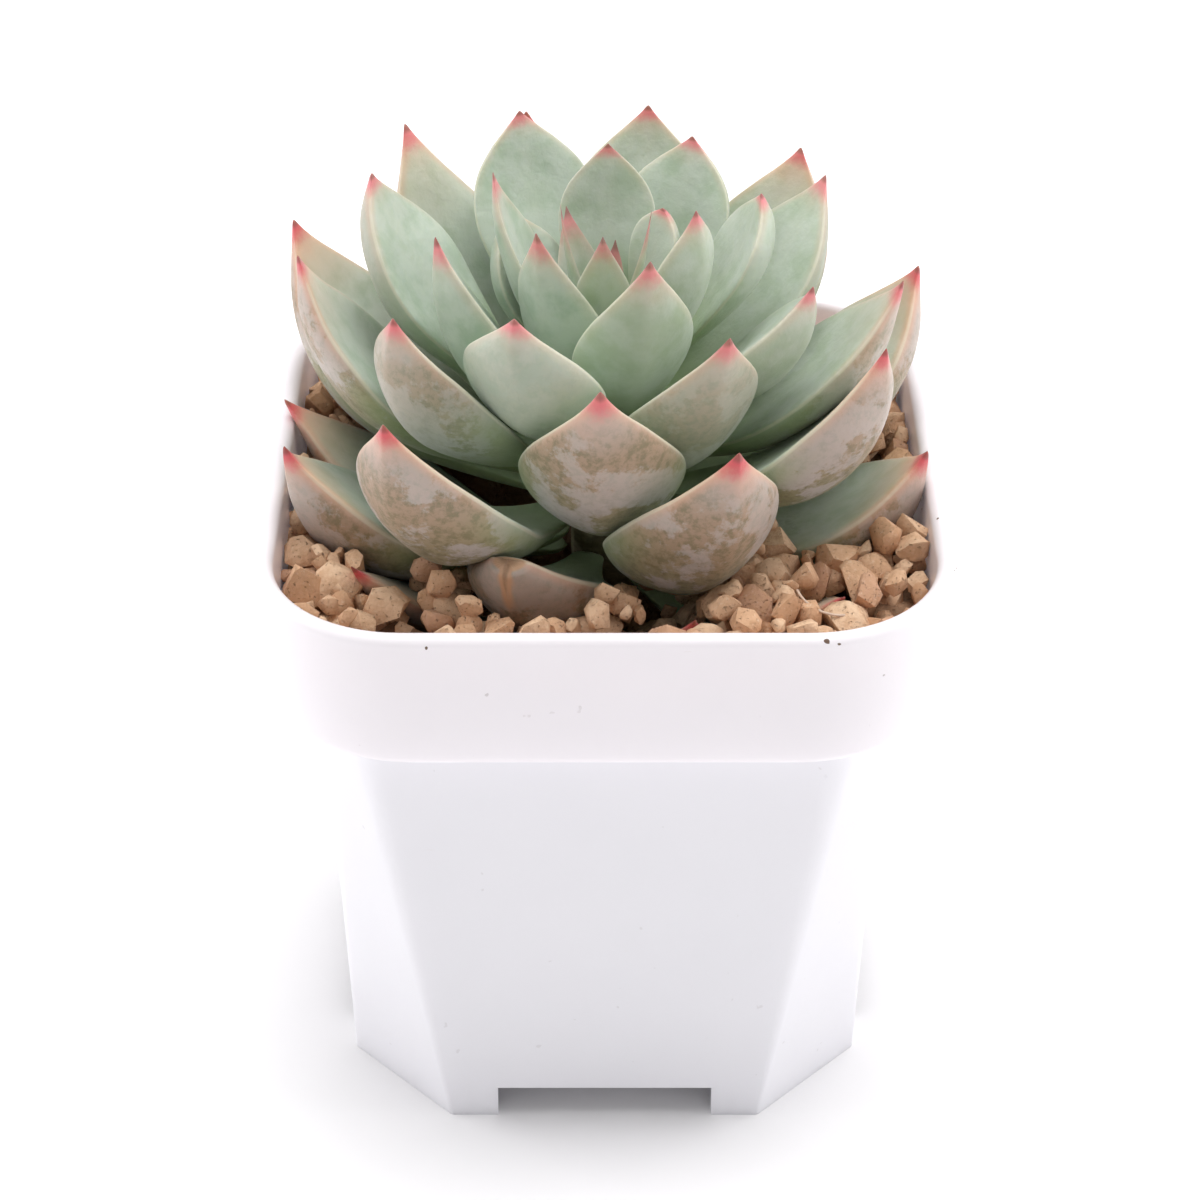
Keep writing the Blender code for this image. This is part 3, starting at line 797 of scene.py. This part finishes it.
def baked_clay(painted_shade=1.0):
    """Matt fired clay, different from grain to grain, with pale dust and red-brown patches, and pits that are
    dented in and painted dark as painted shade. The darker version, for the bed under the grains, is painted shade
    in the gaps between them.
    """
    clay = Finish("baked_clay", Roughness=0.9)
    tint = clay.own("tint")
    body = clay.mix(clay.ramp(tint, 0.0, 1.0), (0.740, 0.450, 0.270), (0.900, 0.650, 0.440))
    reddish = clay.ramp(tint, 0.82, 0.88)
    body = clay.mix(clay.times(reddish, 0.7), body, (0.560, 0.280, 0.170))
    patches = clay.ramp(clay.noise(0.0011, 5.0, 0.65), 0.40, 0.66)
    body = clay.mix(clay.times(patches, 0.5), body, (0.600, 0.340, 0.185))
    dust = clay.ramp(clay.noise(0.0006, 4.0, 0.7), 0.55, 0.75)
    body = clay.mix(clay.times(dust, 0.45), body, (0.920, 0.760, 0.580))
    # The pits are dented in, and their dark colour is painted shade inside them.
    shaded_pits = clay.ramp(clay.noise(0.00035, 3.0, 0.6), 0.60, 0.72)
    body = clay.mix(clay.times(shaded_pits, 0.55), body, (0.300, 0.150, 0.080))
    # Painted shade: darkens the clay towards near-black brown for the bed between the grains.
    if painted_shade < 1.0:
        body = clay.mix(painted_shade, body, (0.080, 0.045, 0.025))
    bumps = clay.height(clay.noise(0.0005, 5.0, 0.7), 0.00022)
    bumps = clay.height(clay.inverse(shaded_pits), 0.00015, bumps)
    return clay.wear(Base_Color=body, Normal=bumps)


make_gravel(leaves)


# ---- Stray root ----
# One thin, pale, dry root lies on the gravel at the front right: a short arc, round in section.
root_middle = Vector((0.0232, -0.0215, gravel_top + 0.0022))
root_bow = 0.0045
root_thickness = 0.00026
root_turn = 75


def make_root():
    shape = bmesh.new()
    start = Matrix.Translation((root_bow, 0, 0)) @ Matrix.Rotation(math.radians(90), 4, "X")
    bmesh.ops.create_circle(shape, cap_ends=True, segments=8, radius=root_thickness / 2, matrix=start)
    bmesh.ops.spin(shape, geom=shape.faces[:], cent=(0, 0, 0), axis=(0, 0, 1),
                   angle=math.radians(root_turn), steps=24)
    lean = Matrix.Rotation(math.radians(24), 4, "X") @ Matrix.Rotation(math.radians(200), 4, "Z")
    bmesh.ops.transform(shape, matrix=Matrix.Translation(root_middle) @ lean, verts=shape.verts)
    bmesh.ops.recalc_face_normals(shape, faces=shape.faces)
    skin = Finish("dry_root", Roughness=0.7)
    rings = skin.noise(0.0009, 3.0)
    colour = skin.mix(rings, (0.62, 0.44, 0.34), (0.80, 0.66, 0.54))
    root = add_piece("stray_root", shape, skin.wear(Base_Color=colour, Normal=skin.height(rings, 0.00005)))
    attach(root, "root")


make_root()


# ---- Floor, light and camera ----
# A white surface that glows faintly as painted light, the glow fading out between 30 and 75 mm from the pot's
# middle so that the floor near the pot keeps its shade; broad soft light from above and from both sides, and a
# camera that looks down on the front of the pot.
def area_light(name, place, aim, size, power):
    light = bpy.data.lights.new(name, "AREA")
    light.shape = "SQUARE"
    light.size = size
    light.energy = power
    made = bpy.data.objects.new(name, light)
    made.location = place
    made.rotation_euler = (Vector(aim) - Vector(place)).to_track_quat("-Z", "Y").to_euler()
    bpy.context.scene.collection.objects.link(made)


def make_studio():
    shape = bmesh.new()
    bmesh.ops.create_grid(shape, x_segments=1, y_segments=1, size=3.0)
    paper = Finish("white_paper", Roughness=0.9)
    paper.shader.inputs["Base Color"].default_value = (0.94, 0.93, 0.935, 1.0)
    paper.shader.inputs["Emission Color"].default_value = (1.0, 0.985, 0.99, 1.0)
    # Painted light: the floor glows, and the glow fades out towards the pot so the floor near it stays shaded.
    away = paper.add("VectorMath", {0: paper.place}, output="Value", operation="LENGTH")
    glow = paper.times(paper.ramp(away, 0.030, 0.075), 0.22)
    paper.wear(Emission_Strength=glow)
    floor = add_piece("floor", shape, paper.material)
    world = bpy.data.worlds.new("studio")
    world.use_nodes = True
    world.node_tree.nodes["Background"].inputs["Color"].default_value = (1.0, 1.0, 1.0, 1.0)
    world.node_tree.nodes["Background"].inputs["Strength"].default_value = 0.46
    bpy.context.scene.world = world
    middle = (0.0, 0.0, 0.06)
    area_light("top", (0.05, 0.10, 0.75), middle, 0.6, 4.3)
    area_light("left", (-0.60, 0.10, 0.30), middle, 0.5, 1.8)
    area_light("right", (0.60, 0.10, 0.30), middle, 0.5, 1.8)
    camera = bpy.data.objects.new("camera", bpy.data.cameras.new("camera"))
    camera.data.sensor_width = 36.0
    camera.data.lens = 36.0 * 3105 / 1200
    camera.location = (-0.0005, -0.2777, 0.2364)
    camera.rotation_euler = (math.radians(90 - 34), 0.0, 0.0)
    bpy.context.scene.collection.objects.link(camera)
    bpy.context.scene.camera = camera
    bpy.context.scene.view_settings.view_transform = "Standard"


make_studio()
